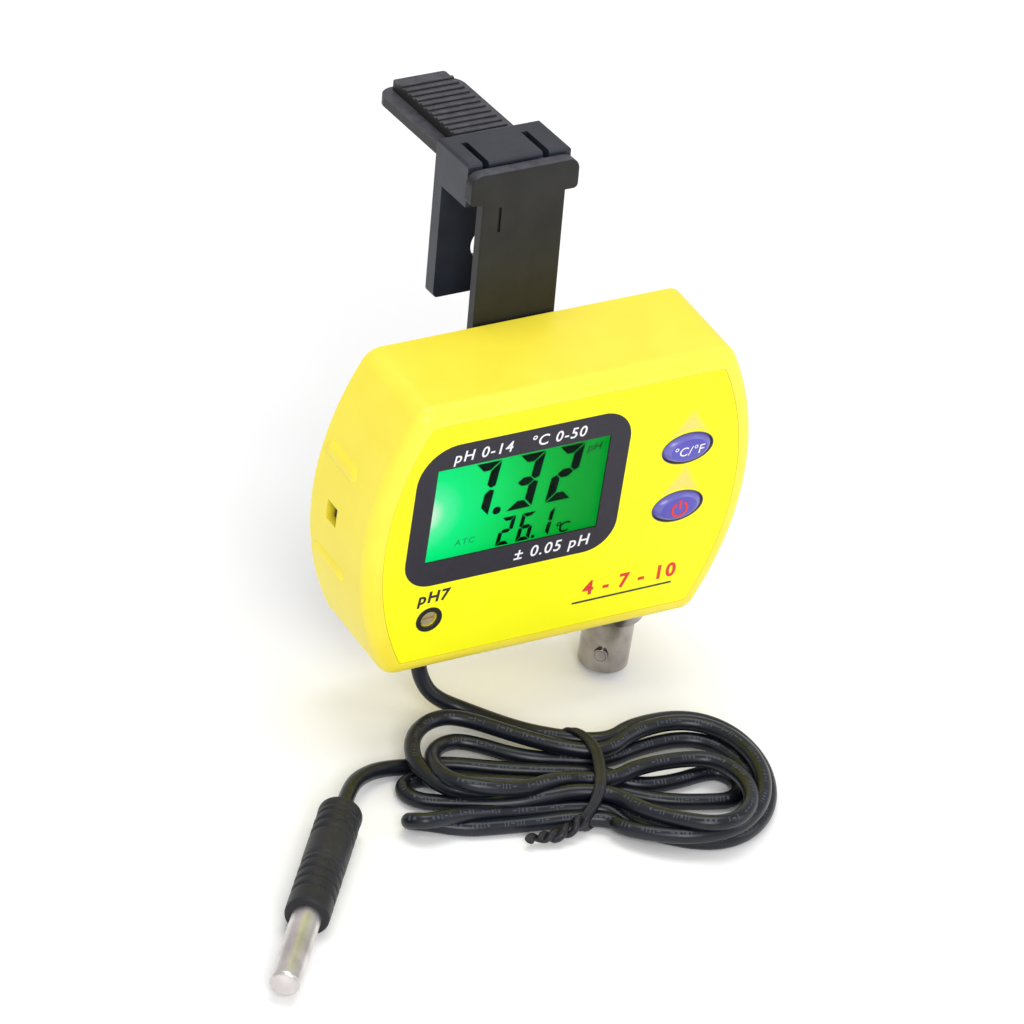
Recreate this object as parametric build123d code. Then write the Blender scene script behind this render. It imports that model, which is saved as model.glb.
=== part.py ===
from build123d import *
from math import cos, pi, radians, sin, sqrt, tan
import os

os.makedirs("parts", exist_ok=True)

# A hanging pH and temperature monitor for an aquarium. Units are millimetres.
# Everything is drawn in the case frame: X to the viewer's right, Y from the front face
# to the back, Z up, and zero at the middle of the front face. The finished parts are
# moved so that the origin is the seat of the tank rim, under the arm of the clip.

# ---------------------------------------------------------------- driving dimensions
CASE_W = 80.0
CASE_H = 59.0
CASE_D = 22.0
SIDE_R = 59.4            # radius of the bulging left and right sides
CORNER_R = 3.8
EDGE_R = 2.8
WALL = 2.3
FRONT_T = 2.0
RIM_STEP = 2.2           # depth of the rim that the rear cover drops into
RIM_WALL = 1.3
GAP = 0.15               # running gap between neighbouring pieces

LABEL_T = 0.35
LABEL_INSET = 3.3
LCD_W = 36.0
LCD_H = 20.8
LCD_X = -10.1
LCD_Z = 6.2

BUTTON_X = 24.9
TEMP_Z = 9.7
POWER_Z = -3.4
BUTTON_RX = 5.2
BUTTON_RZ = 3.2
BUTTON_RISE = 0.9
BUTTON_TRAVEL = 0.6
SWITCH_Y = 4.0           # front of the plungers under the buttons

TRIM_X = -25.3
TRIM_Z = -17.2
TRIM_SCREW_R = 1.5
TRIM_HOLE_R = 1.75
TRIM_RING_R = 2.65

PCB_Y = 6.8
PCB_T = 1.2
PCB_POSTS = ((-29.5, 22.5), (29.5, 22.5), (31.0, -14.5), (-31.5, -12.5))

BNC_X = 20.5
BNC_Y = 9.0
BNC_BARREL_R = 4.83      # 9.66 mm bayonet barrel of a standard BNC jack
BNC_FLANGE_R = 6.15
BNC_FLANGE_T = 3.4
BNC_LENGTH = 14.6        # from the case to the mouth of the jack
BNC_THREAD_R = 4.7
BNC_LUG_ANGLE = -130.6
BNC_LUG_R = 1.4
BNC_LUG_REACH = 5.5      # 11 mm across the two bayonet lugs

CORD_R = 1.5
EXIT_X = -20.5
EXIT_Y = 9.3
FLOOR_Z = -46.0

CELL_R = 5.2
CELL_L = 44.0
CELL_Y = 15.35
CELL_LOW_Z = -16.9
CELL_PITCH = 10.8
SPRING_R = 3.0
SPRING_HOLE_R = 2.1
WELL_X0 = -32.2
WELL_X1 = 16.2
WELL_Z0 = -23.2
WELL_Z1 = 0.3
WELL_Y = 9.1
WELL_WALL = 0.9
DOOR_T = 1.3
DOOR_GAP = 0.3

CLIP_LEAN = 6.0          # the clip leans this many degrees behind the case
CLIP_Y = 22.6            # where the strip's front passes the top of the case
CLIP_X = -2.0
STRIP_W = 17.0
STRIP_T = 2.2
STRIP_FOOT = -22.0       # heights along the strip, from the top of the case
RAIL_LOW = -24.5
RAIL_STOP = 1.4
RAIL_TOP = -6.0
HEAD_W = 22.2
HEAD_LOW = 24.4
HEAD_TOP = 30.5
PLATE_LOW = 26.2
PLATE_TOP = 28.0
PLATE_END = 41.3
RACK_W = 11.0
RACK_TOP = 29.8
RACK_END = 40.6
RIB_START = 15.0
RIB_COUNT = 12
RIB_PITCH = 2.0
RIB_W = 1.0
RIB_RISE = 0.4
SOFT_EDGE = 0.35

JAW_W = 21.2
JAW_FRONT = 2.8
JAW_BACK = 14.4
JAW_LOW = 23.1
JAW_TOP = 31.5
LEG_FRONT = 11.5
LEG_LOW = 0.2
KEY_U = 9.5
KEY_R = 3.5
KEY_SLOT_R = 2.6
KEY_TOP = 15.8

HANK_X = -1.5             # the tie's place on the floor, and the hank's direction
HANK_Y = -25.5
HANK_TURN = -24.4
HANK_H = 8.4
WAIST_HALF = 9.6
WAIST_TOP = 7.8
TIE_W = 3.4
TIE_T = 0.7
GRIP_R = 4.1
GRIP_L = 31.2
GRIP_GROOVES = (3.9, 6.5, 9.1, 18.3, 20.9, 23.5, 26.1)
TUBE_R = 2.7
TUBE_L = 19.4

HINGE_Y = CASE_D - DOOR_T / 2
HINGE_Z = WELL_Z0 + DOOR_GAP + DOOR_T / 2

# The tank rim's seat, halfway between the strip and the leg, under the jaw block.
SEAT_W = (STRIP_T + LEG_FRONT) / 2
LEAN = radians(CLIP_LEAN)
SEAT = (
    CLIP_X,
    CLIP_Y + JAW_LOW * sin(LEAN) + SEAT_W * cos(LEAN),
    CASE_H / 2 + JAW_LOW * cos(LEAN) - SEAT_W * sin(LEAN),
)


# ---------------------------------------------------------------- small helpers
def front_plane(y):
    """A sketch plane facing the viewer at depth y: sketch x is X and sketch y is Z."""
    return Plane(origin=(0, y, 0), x_dir=(1, 0, 0), z_dir=(0, -1, 0))


def block(x0, x1, y0, y1, z0, z1):
    """A box between two corners."""
    centre = ((x0 + x1) / 2, (y0 + y1) / 2, (z0 + z1) / 2)
    return Pos(*centre) * Box(x1 - x0, y1 - y0, z1 - z0)


def rod_y(x, z, radius, y0, y1):
    """A cylinder along Y."""
    return Pos(x, (y0 + y1) / 2, z) * Rot(90, 0, 0) * Cylinder(radius, y1 - y0)


def rod_z(x, y, radius, z0, z1):
    """A cylinder along Z."""
    return Pos(x, y, (z0 + z1) / 2) * Cylinder(radius, z1 - z0)


def rod_x(y, z, radius, x0, x1):
    """A cylinder along X."""
    return Pos((x0 + x1) / 2, y, z) * Rot(0, 90, 0) * Cylinder(radius, x1 - x0)


def oval_y(x, z, rx, rz, y0, y1):
    """An elliptical cylinder along Y."""
    face = front_plane(y1) * Pos(x, z) * Ellipse(rx, rz)
    return extrude(face, amount=y1 - y0)


def lean(shape):
    """Carry a shape from the clip's own frame to the case frame.

    In the clip's frame x is X, y runs back from the strip's front face and z runs up
    the strip from the top of the case.
    """
    return Pos(0, CLIP_Y, CASE_H / 2) * Rot(-CLIP_LEAN, 0, 0) * shape


def rounded(shape, axis, radius):
    """Round the edges that run along an axis."""
    return fillet(shape.edges().filter_by(axis), radius)


def case_face(inset, y):
    """The case outline, brought in by an inset: flat top and bottom, bulging sides."""
    centre = SIDE_R - CASE_W / 2
    radius = SIDE_R - inset
    half_h = CASE_H / 2 - inset
    chord = sqrt(radius**2 - half_h**2) - centre
    bulge = CASE_W / 2 - inset
    with BuildSketch(front_plane(y)) as sketch:
        with BuildLine():
            Line((-chord, half_h), (chord, half_h))
            ThreePointArc((chord, half_h), (bulge, 0), (chord, -half_h))
            Line((chord, -half_h), (-chord, -half_h))
            ThreePointArc((-chord, -half_h), (-bulge, 0), (-chord, half_h))
        make_face()
        fillet(sketch.vertices(), max(CORNER_R - inset, 1.0))
    return sketch.sketch


def case_slab(inset, y0, y1):
    """The case outline as a slab between two depths."""
    return extrude(case_face(inset, y1), amount=y1 - y0)


def save(name, shape):
    """Move a finished part to the seat's frame and write it."""
    placed = Pos(-SEAT[0], -SEAT[1], -SEAT[2]) * shape
    solids = placed.solids()
    part = solids[0] if len(solids) == 1 else Compound(children=solids)
    part.label = name
    export_step(part, f"parts/{name}.step")


# ---------------------------------------------------------------- case
def side_ridge(sign, z):
    """A low finger ridge across one side of the case."""
    centre = SIDE_R - CASE_W / 2
    x = sqrt(SIDE_R**2 - z**2) - centre
    rib_r = 2.6
    rod = rod_y(sign * (x - rib_r + 0.55), z, rib_r, 11.0, CASE_D - 2.4)
    nose = Pos(sign * (x - rib_r + 0.55), 11.0, z) * Sphere(rib_r)
    return rod + nose


def front_case():
    shell = case_slab(0, 0, CASE_D)
    front_edges = shell.faces().sort_by(Axis.Y)[0].edges()
    shell = fillet(front_edges, EDGE_R)
    for sign in (-1, 1):
        for z in (10.7, -10.9):
            shell = shell + side_ridge(sign, z)
    shell = shell - case_slab(WALL, FRONT_T, CASE_D - RIM_STEP)
    shell = shell - case_slab(RIM_WALL, CASE_D - RIM_STEP, CASE_D + 1)
    shell = shell - case_slab(LABEL_INSET, -1, LABEL_T)
    half_w = LCD_W / 2 + 1.2
    half_h = LCD_H / 2 + 1.2
    opening = block(LCD_X - half_w, LCD_X + half_w, -1, 3, LCD_Z - half_h, LCD_Z + half_h)
    shell = shell - opening
    for z in (TEMP_Z, POWER_Z):
        shell = shell - oval_y(BUTTON_X, z, BUTTON_RX + 0.35, BUTTON_RZ + 0.35, -1, 3)
    shell = shell - rod_y(TRIM_X, TRIM_Z, TRIM_HOLE_R, -1, 3)
    for sign in (-1, 1):
        window = sorted((sign * 36.0, sign * 41.0))
        shell = shell - block(window[0], window[1], 12.6, 16.3, -2.0, 2.0)
    shell = shell - rod_z(BNC_X, BNC_Y, BNC_THREAD_R + GAP, -31, -26)
    shell = shell - rod_z(EXIT_X, EXIT_Y, 2.9, -31, -26)
    for x, z in PCB_POSTS:
        shell = shell + rod_y(x, z, 2.2, FRONT_T - 0.2, PCB_Y)
        shell = shell - rod_y(x, z, 0.85, FRONT_T + 1.0, PCB_Y + 1)
    return shell


def front_label():
    label = case_slab(LABEL_INSET + 0.1, 0, LABEL_T - 0.02)
    window = block(
        LCD_X - LCD_W / 2, LCD_X + LCD_W / 2, -1, 1, LCD_Z - LCD_H / 2, LCD_Z + LCD_H / 2
    )
    label = label - window
    for z in (TEMP_Z, POWER_Z):
        label = label - oval_y(BUTTON_X, z, BUTTON_RX + 0.3, BUTTON_RZ + 0.3, -1, 1)
    return label - rod_y(TRIM_X, TRIM_Z, TRIM_RING_R + 0.05, -1, 1)


def display_lens():
    half_w = LCD_W / 2 + 1.0
    half_h = LCD_H / 2 + 1.0
    lens = block(LCD_X - half_w, LCD_X + half_w, LABEL_T, 1.5, LCD_Z - half_h, LCD_Z + half_h)
    return rounded(lens, Axis.Y, 0.8)


def snap_arm(sign):
    """A flexible arm of the rear cover with a nose that clicks into the side window."""
    arm = sorted((sign * 35.6, sign * 37.2))
    nose = sorted((sign * 36.9, sign * 38.6))
    strip = block(arm[0], arm[1], 12.9, CASE_D - RIM_STEP + 0.3, -1.7, 1.7)
    hook = block(nose[0], nose[1], 13.0, 15.6, -1.7, 1.7)
    return strip + hook


def guide_rails():
    """Two rails that hold the edges of the clip's strip on the back."""
    half = STRIP_W / 2
    back = STRIP_T + GAP
    foot = RAIL_LOW + RAIL_STOP
    body = block(CLIP_X - half - 2.0, CLIP_X + half + 2.0, -1.5, back + 1.4, RAIL_LOW, RAIL_TOP)
    slot = block(CLIP_X - half - GAP, CLIP_X + half + GAP, -GAP, back, foot, RAIL_TOP + 1)
    mouth = block(CLIP_X - half + 2.2, CLIP_X + half - 2.2, -GAP, back + 5, foot, RAIL_TOP + 1)
    return lean(body) - lean(slot) - lean(mouth)


def rear_cover():
    plate = case_slab(RIM_WALL + GAP, CASE_D - RIM_STEP + 0.05, CASE_D)
    cover = plate + snap_arm(-1) + snap_arm(1)
    half = STRIP_W / 2 + GAP
    bed = lean(block(CLIP_X - half - 1.6, CLIP_X + half + 1.6, -1.5, 2.5, RAIL_LOW, 3))
    bed = bed & case_slab(WALL + 0.4, 17.5, CASE_D - 0.2)
    channel = lean(block(CLIP_X - half, CLIP_X + half, -GAP, 20, RAIL_LOW + RAIL_STOP, 30))
    cover = (cover + bed) - channel
    cover = cover + guide_rails()
    well = block(WELL_X0, WELL_X1, WELL_Y, CASE_D - RIM_STEP + 0.2, WELL_Z0, WELL_Z1)
    low_wall = WELL_Z0 + WELL_WALL
    high_wall = WELL_Z1 - WELL_WALL
    left_wall = WELL_X0 + WELL_WALL
    right_wall = WELL_X1 - WELL_WALL
    hollow = block(left_wall, right_wall, WELL_Y + 0.7, CASE_D + 1, low_wall, high_wall)
    cover = (cover + well) - hollow
    door_y = CASE_D - DOOR_T - GAP
    cover = cover - block(WELL_X0 - 0.6, WELL_X1 + 0.6, door_y, CASE_D + 1, WELL_Z0, WELL_Z1 + 0.5)
    for x in (WELL_X0, WELL_X1):
        cover = cover - rod_x(HINGE_Y, HINGE_Z, 0.62, x - 1.4, x + 1.4)
    return cover


def battery_door():
    """A flat door with a round lower edge that turns on two short pins."""
    x0, x1 = WELL_X0 - 0.3, WELL_X1 + 0.3
    door = block(x0, x1, CASE_D - DOOR_T, CASE_D, HINGE_Z, WELL_Z1 + 0.2)
    door = door + rod_x(HINGE_Y, HINGE_Z, DOOR_T / 2, x0, x1)
    door = door + rod_x(HINGE_Y, HINGE_Z, 0.5, x0 - 0.9, x1 + 0.9)
    middle = (WELL_X0 + WELL_X1) / 2
    for k in range(3):
        z = WELL_Z1 - 2.6 - 1.3 * k
        door = door - block(middle - 6, middle + 6, CASE_D - 0.35, CASE_D + 1, z - 0.3, z + 0.3)
    return door


def battery_cells():
    cells = []
    length = CELL_L / 2
    middle = (WELL_X0 + WELL_X1) / 2
    for k in range(2):
        sign = 1 if k == 0 else -1
        z = CELL_LOW_Z + CELL_PITCH * k
        can = rod_x(CELL_Y, z, CELL_R, middle - length, middle + length)
        tip = middle + sign * length
        ends = sorted((tip, tip + sign * 0.8))
        cells.append(can + rod_x(CELL_Y, z, 1.9, ends[0], ends[1]))
    return cells


def battery_contacts():
    """Four end leaves: two joined by a link, and two that lead to the board."""
    left = WELL_X0 + WELL_WALL
    right = WELL_X1 - WELL_WALL
    high_z = CELL_LOW_Z + CELL_PITCH
    low_y, top_y = CELL_Y - 4.0, CELL_Y + 4.0
    link = block(left + 0.05, left + 0.35, low_y, top_y, CELL_LOW_Z - 4, high_z + 4)
    plates = [("battery_link", link)]
    for name, z in (("battery_contact_plus", CELL_LOW_Z), ("battery_contact_minus", high_z)):
        leaf = block(right - 0.35, right - 0.05, low_y, top_y, z - 4, z + 4)
        plates.append((name, leaf))
    return plates


def cell_springs():
    """The two coil springs that press on the flat ends of the cells."""
    left = WELL_X0 + WELL_WALL + 0.35
    right = WELL_X1 - WELL_WALL - 0.35
    middle = (WELL_X0 + WELL_X1) / 2
    low_end = middle - CELL_L / 2
    high_end = middle + CELL_L / 2
    high_z = CELL_LOW_Z + CELL_PITCH
    touch = 0.02
    springs = []
    for x0, x1, z in ((left, low_end, CELL_LOW_Z), (high_end, right, high_z)):
        ring = rod_x(CELL_Y, z, SPRING_R, x0 + touch, x1 - touch)
        ring = ring - rod_x(CELL_Y, z, SPRING_HOLE_R, x0 - 1, x1 + 1)
        springs.append(ring)
    return springs


# ---------------------------------------------------------------- display and board
def lcd_frame():
    outer_w, outer_h = LCD_W / 2 + 2.6, LCD_H / 2 + 2.4
    frame = block(LCD_X - outer_w, LCD_X + outer_w, 2.1, 6.6, LCD_Z - outer_h, LCD_Z + outer_h)
    inner_w, inner_h = LCD_W / 2 + 1.6, LCD_H / 2 + 1.6
    return frame - block(LCD_X - inner_w, LCD_X + inner_w, 1, 7, LCD_Z - inner_h, LCD_Z + inner_h)


def lcd_glass():
    half_w, half_h = LCD_W / 2 + 1.4, LCD_H / 2 + 1.4
    return block(LCD_X - half_w, LCD_X + half_w, 2.1, 3.9, LCD_Z - half_h, LCD_Z + half_h)


def backlight_guide():
    half_w, half_h = LCD_W / 2 + 1.4, LCD_H / 2 + 0.2
    guide = block(LCD_X - half_w + 1.6, LCD_X + half_w, 4.0, 6.3, LCD_Z - half_h, LCD_Z + half_h)
    return guide


def backlight_led():
    left = LCD_X - LCD_W / 2 - 1.4
    return block(left, left + 1.4, 4.1, 6.2, LCD_Z - 5.0, LCD_Z - 1.0)


def contact_strips():
    """The rubber strips that carry the display's contacts to the board."""
    strips = []
    for sign in (-1, 1):
        z = LCD_Z + sign * (LCD_H / 2 + 0.85)
        strips.append(block(LCD_X - 16, LCD_X + 16, 4.0, PCB_Y, z - 0.5, z + 0.5))
    return strips


def main_board():
    board = case_slab(WALL + 0.4, PCB_Y, PCB_Y + PCB_T)
    for x, z in PCB_POSTS:
        board = board - rod_y(x, z, 1.1, PCB_Y - 1, PCB_Y + PCB_T + 1)
    board = board - block(BNC_X - 8.5, BNC_X + 8.5, 0, 20, -40, -18.0)
    return board - block(EXIT_X - 5, EXIT_X + 5, 0, 20, -40, -22.5)


def board_screws():
    screws = []
    for x, z in PCB_POSTS:
        head = rod_y(x, z, 1.9, PCB_Y + PCB_T + 0.02, PCB_Y + PCB_T + 1.0)
        shank = rod_y(x, z, 0.8, PCB_Y - 2.4, PCB_Y + PCB_T + 0.1)
        slot = block(x - 1.3, x + 1.3, PCB_Y + PCB_T + 0.7, PCB_Y + PCB_T + 2, z - 0.2, z + 0.2)
        screws.append(head + shank - slot)
    return screws


def chip(x, z, w, h, t):
    """A flat component on the back of the board."""
    y = PCB_Y + PCB_T + 0.02
    return block(x - w / 2, x + w / 2, y, y + t, z - h / 2, z + h / 2)


def chip_blob():
    dome = Pos(-20, PCB_Y + PCB_T + 0.02, 14) * scale(Sphere(1), by=(6, 2.2, 6))
    return dome & block(-40, 20, PCB_Y + PCB_T + 0.02, 20, 0, 30)


def capacitors():
    cans = []
    for x in (16.0, 23.5):
        y = PCB_Y + PCB_T + 2.7
        cans.append(rod_z(x, y, 2.5, 9.0, 16.0))
    return cans


def tact_switch(z):
    base = block(BUTTON_X - 3, BUTTON_X + 3, 4.6, PCB_Y - 0.02, z - 2.6, z + 2.6)
    return base + rod_y(BUTTON_X, z, 1.6, SWITCH_Y, 4.7)


def button(z):
    """An oval domed cap on a wider skirt that the case keeps from falling out."""
    rise = -BUTTON_RISE
    cap = oval_y(BUTTON_X, z, BUTTON_RX, BUTTON_RZ, rise, 2.2)
    top = cap.faces().sort_by(Axis.Y)[0].edges()
    cap = fillet(top, 0.75)
    skirt = oval_y(BUTTON_X, z, BUTTON_RX + 0.9, BUTTON_RZ + 0.9, FRONT_T + 0.12, 2.75)
    stem = rod_y(BUTTON_X, z, 1.4, 2.7, SWITCH_Y - BUTTON_TRAVEL - 0.05)
    return cap + skirt + stem


def trimmer_body():
    """The potentiometer on the board, with a round well for its screw."""
    y0, y1 = 2.7, PCB_Y - 0.02
    body = block(TRIM_X - 3.4, TRIM_X + 3.4, y0, y1, TRIM_Z - 3.4, TRIM_Z + 3.4)
    return body - rod_y(TRIM_X, TRIM_Z, TRIM_SCREW_R + 0.12, y0 - 1, y1 - 0.8)


def trimmer_ring():
    """The dark eyelet around the calibration screw."""
    ring = rod_y(TRIM_X, TRIM_Z, TRIM_RING_R, -0.1, LABEL_T - 0.02)
    return ring - rod_y(TRIM_X, TRIM_Z, TRIM_HOLE_R, -1, 1)


def trimmer_screw():
    screw = rod_y(TRIM_X, TRIM_Z, TRIM_SCREW_R, 0.5, PCB_Y - 1.0)
    slot = block(TRIM_X - 2, TRIM_X + 2, 0, 1.1, TRIM_Z - 0.25, TRIM_Z + 0.25)
    return screw - slot


# ---------------------------------------------------------------- BNC jack
def bnc_shell():
    under = -CASE_H / 2
    mouth = under - BNC_LENGTH
    barrel_top = under - BNC_FLANGE_T
    flange = rod_z(BNC_X, BNC_Y, BNC_FLANGE_R, barrel_top, under - 0.02)
    flange = chamfer(flange.edges().group_by(Axis.Z)[0], 0.8)
    barrel = rod_z(BNC_X, BNC_Y, BNC_BARREL_R, mouth, barrel_top + 0.1)
    barrel = fillet(barrel.edges().group_by(Axis.Z)[0], 0.35)
    thread = rod_z(BNC_X, BNC_Y, BNC_THREAD_R, under - 0.1, under + 6.2)
    shell = flange + barrel + thread
    lug_z = mouth + 4.4
    turn = Rot(0, 0, BNC_LUG_ANGLE) * Rot(0, 90, 0)
    shell = shell + Pos(BNC_X, BNC_Y, lug_z) * turn * Cylinder(BNC_LUG_R, 2 * BNC_LUG_REACH)
    shell = shell - rod_z(BNC_X, BNC_Y, 4.05, mouth - 1, mouth + 9.0)
    return shell - rod_z(BNC_X, BNC_Y, 2.6, mouth - 1, under + 10)


def bnc_insulator():
    under = -CASE_H / 2
    mouth = under - BNC_LENGTH
    core = rod_z(BNC_X, BNC_Y, 2.45, mouth + 4.2, under + 6.8)
    return core - rod_z(BNC_X, BNC_Y, 1.1, mouth, under + 10)


def bnc_contact():
    under = -CASE_H / 2
    mouth = under - BNC_LENGTH
    pin = rod_z(BNC_X, BNC_Y, 1.02, mouth + 3.6, under + 9.0)
    return pin - rod_z(BNC_X, BNC_Y, 0.68, mouth, mouth + 9)


def bnc_washer():
    low = -CASE_H / 2 + WALL
    ring = rod_z(BNC_X, BNC_Y, 6.3, low + 0.02, low + 0.7)
    return ring - rod_z(BNC_X, BNC_Y, BNC_THREAD_R + 0.05, low - 1, low + 2)


def bnc_nut():
    low = -CASE_H / 2 + WALL + 0.75
    with BuildPart() as nut:
        with BuildSketch(Plane.XY.offset(low)):
            with Locations((BNC_X, BNC_Y)):
                RegularPolygon(6.2, 6, major_radius=False)
        extrude(amount=2.2)
    return nut.part - rod_z(BNC_X, BNC_Y, BNC_THREAD_R + 0.03, low - 1, low + 4)


def lead_wires():
    """The signal wire from the centre contact and the ground wire from the nut."""
    under = -CASE_H / 2
    top = -14.5
    wires = []
    for x, low in ((BNC_X, under + 9.02), (BNC_X + 5.4, under + WALL + 3.0)):
        wire = rod_z(x, BNC_Y, 0.5, low, top)
        pad = block(x - 0.45, x + 0.45, PCB_Y + PCB_T + 0.02, BNC_Y, top - 1.2, top - 0.2)
        wires.append(wire + pad)
    return wires


# ---------------------------------------------------------------- temperature probe lead
def cable_grommet():
    under = -CASE_H / 2
    body = rod_z(EXIT_X, EXIT_Y, 2.8, under, under + WALL + 0.2)
    collar = rod_z(EXIT_X, EXIT_Y, 4.0, under + WALL + 0.02, under + WALL + 1.4)
    return body + collar


def inner_lead():
    """The end of the lead inside the case, with its two cores soldered to the board."""
    under = -CASE_H / 2
    sheath_end = WELL_Z0 - 0.2
    lead = rod_z(EXIT_X, EXIT_Y, CORD_R, under + WALL + 1.42, sheath_end)
    for x in (EXIT_X - 0.7, EXIT_X + 0.7):
        lead = lead + rod_z(x, PCB_Y + PCB_T + 0.45, 0.4, sheath_end - 0.5, sheath_end + 3.5)
    return lead


# The free lead, from the case to the hank and from the hank to the probe.
LEAD_IN = (
    (-20.5, 9.3, -29.5),
    (-20.5, 9.3, -33.4),
    (-20.1, 7.9, -37.6),
    (-18.2, 5.6, -40.9),
    (-12.6, 2.6, -43.2),
)
LEAD_OUT = (
    (-31.0, -7.2, -44.4),
    (-36.2, -7.0, -43.8),
    (-41.4, -9.2, -42.7),
    (-45.4, -12.8, -41.9),
    (-49.6, -18.0, -41.9),
)


def corner_radii(points):
    """The radius of each corner: 0.45 of its shorter run over the tangent of half the turn."""
    radii = []
    for a, b, c in zip(points, points[1:], points[2:]):
        before = Vector(*b) - Vector(*a)
        after = Vector(*c) - Vector(*b)
        turn = before.get_angle(after)
        shorter = min(before.length, after.length)
        radii.append(0.45 * shorter / tan(radians(turn) / 2))
    return radii


def lead_tube(name, points):
    radii = corner_radii(points)
    path = FilletPolyline(*points, radius=radii)
    start = Plane(origin=points[0], z_dir=path % 0)
    tube = sweep(start * Circle(CORD_R), path=path)
    print(name, "radii", [round(r, 1) for r in radii])
    print(name, "length", round(path.length, 1), "volume", round(tube.volume, 1))
    return tube


def hank_frame(shape):
    """Carry a shape from the hank's own frame, tie at zero and turns along x, to the floor."""
    return Pos(HANK_X, HANK_Y, FLOOR_Z) * Rot(0, 0, HANK_TURN) * shape


def cord_hank():
    """The outer shape of the folded turns: two lobes and the waist that the tie holds."""
    lobes = ((-18.0, 3.0, 18.0, 18.0), (16.5, 4.0, 17.0, 18.5))
    hank = block(-9, 9, -WAIST_HALF, WAIST_HALF, TIE_T, WAIST_TOP)
    for x, y, rx, ry in lobes:
        lobe = Pos(x, y, 0) * Ellipse(rx, ry)
        lobe = extrude(lobe, amount=HANK_H)
        hank = hank + fillet(lobe.edges(), 1.8)
    return hank_frame(hank)


def cord_tie():
    """The wire tie around the hank's waist, with its twisted end on the floor side."""
    half = TIE_W / 2
    side = WAIST_HALF + TIE_T
    band = block(-half, half, -side, side, 0, WAIST_TOP + TIE_T)
    band = band - block(-half - 1, half + 1, -WAIST_HALF, WAIST_HALF, TIE_T, WAIST_TOP)
    tail = Cylinder(0.95, 14, align=(Align.CENTER, Align.CENTER, Align.MIN))
    tail = Pos(-0.5, -side - 0.3, 1.2) * Rot(0, 0, 32) * Rot(0, -90, 0) * tail
    return hank_frame(band + tail)


def probe_turn(shape):
    """Carry a shape drawn along +Z from the end of the lead to the probe's place."""
    end = Vector(*LEAD_OUT[-1])
    return Plane(origin=end, z_dir=end - Vector(*LEAD_OUT[-2])).location * shape


def probe_grip():
    grip = Cylinder(GRIP_R, GRIP_L, align=(Align.CENTER, Align.CENTER, Align.MIN))
    grip = fillet(grip.edges().group_by(Axis.Z)[0], 0.8)
    grip = fillet(grip.edges().group_by(Axis.Z)[-1], 0.5)
    for at in GRIP_GROOVES:
        ring = Cylinder(GRIP_R + 1, 0.5) - Cylinder(GRIP_R - 0.3, 0.5)
        grip = grip - Pos(0, 0, at) * ring
    socket = Cylinder(TUBE_R, 20, align=(Align.CENTER, Align.CENTER, Align.MIN))
    return probe_turn(grip - Pos(0, 0, GRIP_L - 6) * socket)


def probe_tube():
    """The steel sleeve that holds the temperature sensor."""
    tube = Cylinder(TUBE_R, TUBE_L + 5.98, align=(Align.CENTER, Align.CENTER, Align.MIN))
    tube = fillet(tube.edges().group_by(Axis.Z)[-1], 0.7)
    return probe_turn(Pos(0, 0, GRIP_L - 5.98) * tube)


# ---------------------------------------------------------------- tank clip
def clip_arm():
    """The strip behind the case, its head, and the plate with the rack above the rim."""
    half = STRIP_W / 2
    strip = block(CLIP_X - half, CLIP_X + half, 0, STRIP_T, STRIP_FOOT, PLATE_LOW + 1)
    strip = fillet(strip.edges().filter_by(Axis.Z).group_by(Axis.Y)[0], SOFT_EDGE)
    head = block(CLIP_X - HEAD_W / 2, CLIP_X + HEAD_W / 2, 0, STRIP_T + 0.2, HEAD_LOW, HEAD_TOP)
    corners = head.edges().filter_by(Axis.Y).sort_by(Axis.Z)
    head = fillet(corners[2:], 2.2)
    head = fillet(head.edges().filter_by(Axis.Y).sort_by(Axis.Z)[:2], 1.0)
    head = fillet(head.edges().group_by(Axis.Y)[0], SOFT_EDGE)
    plate = block(CLIP_X - half, CLIP_X + half, 0.5, PLATE_END, PLATE_LOW, PLATE_TOP)
    plate = fillet(plate.edges().filter_by(Axis.Z).sort_by(Axis.Y)[2:], 3.5)
    rack_half = RACK_W / 2
    rack = block(CLIP_X - rack_half, CLIP_X + rack_half, 2.0, RACK_END, PLATE_TOP - 0.2, RACK_TOP)
    rack = fillet(rack.edges().filter_by(Axis.Z).sort_by(Axis.Y)[2:], 0.6)
    arm = strip + head + plate + rack
    rib_top = RACK_TOP + RIB_RISE
    for k in range(RIB_COUNT):
        y = RIB_START + RIB_PITCH * k
        rib = block(CLIP_X - rack_half, CLIP_X + rack_half, y, y + RIB_W, RACK_TOP - 0.2, rib_top)
        arm = arm + fillet(rib.edges().filter_by(Axis.X).group_by(Axis.Z)[-1], SOFT_EDGE)
    groove = block(CLIP_X - 5.2, CLIP_X - 4.6, -1, 0.5, 18.3, 23.4)
    return lean(arm - groove)


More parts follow.
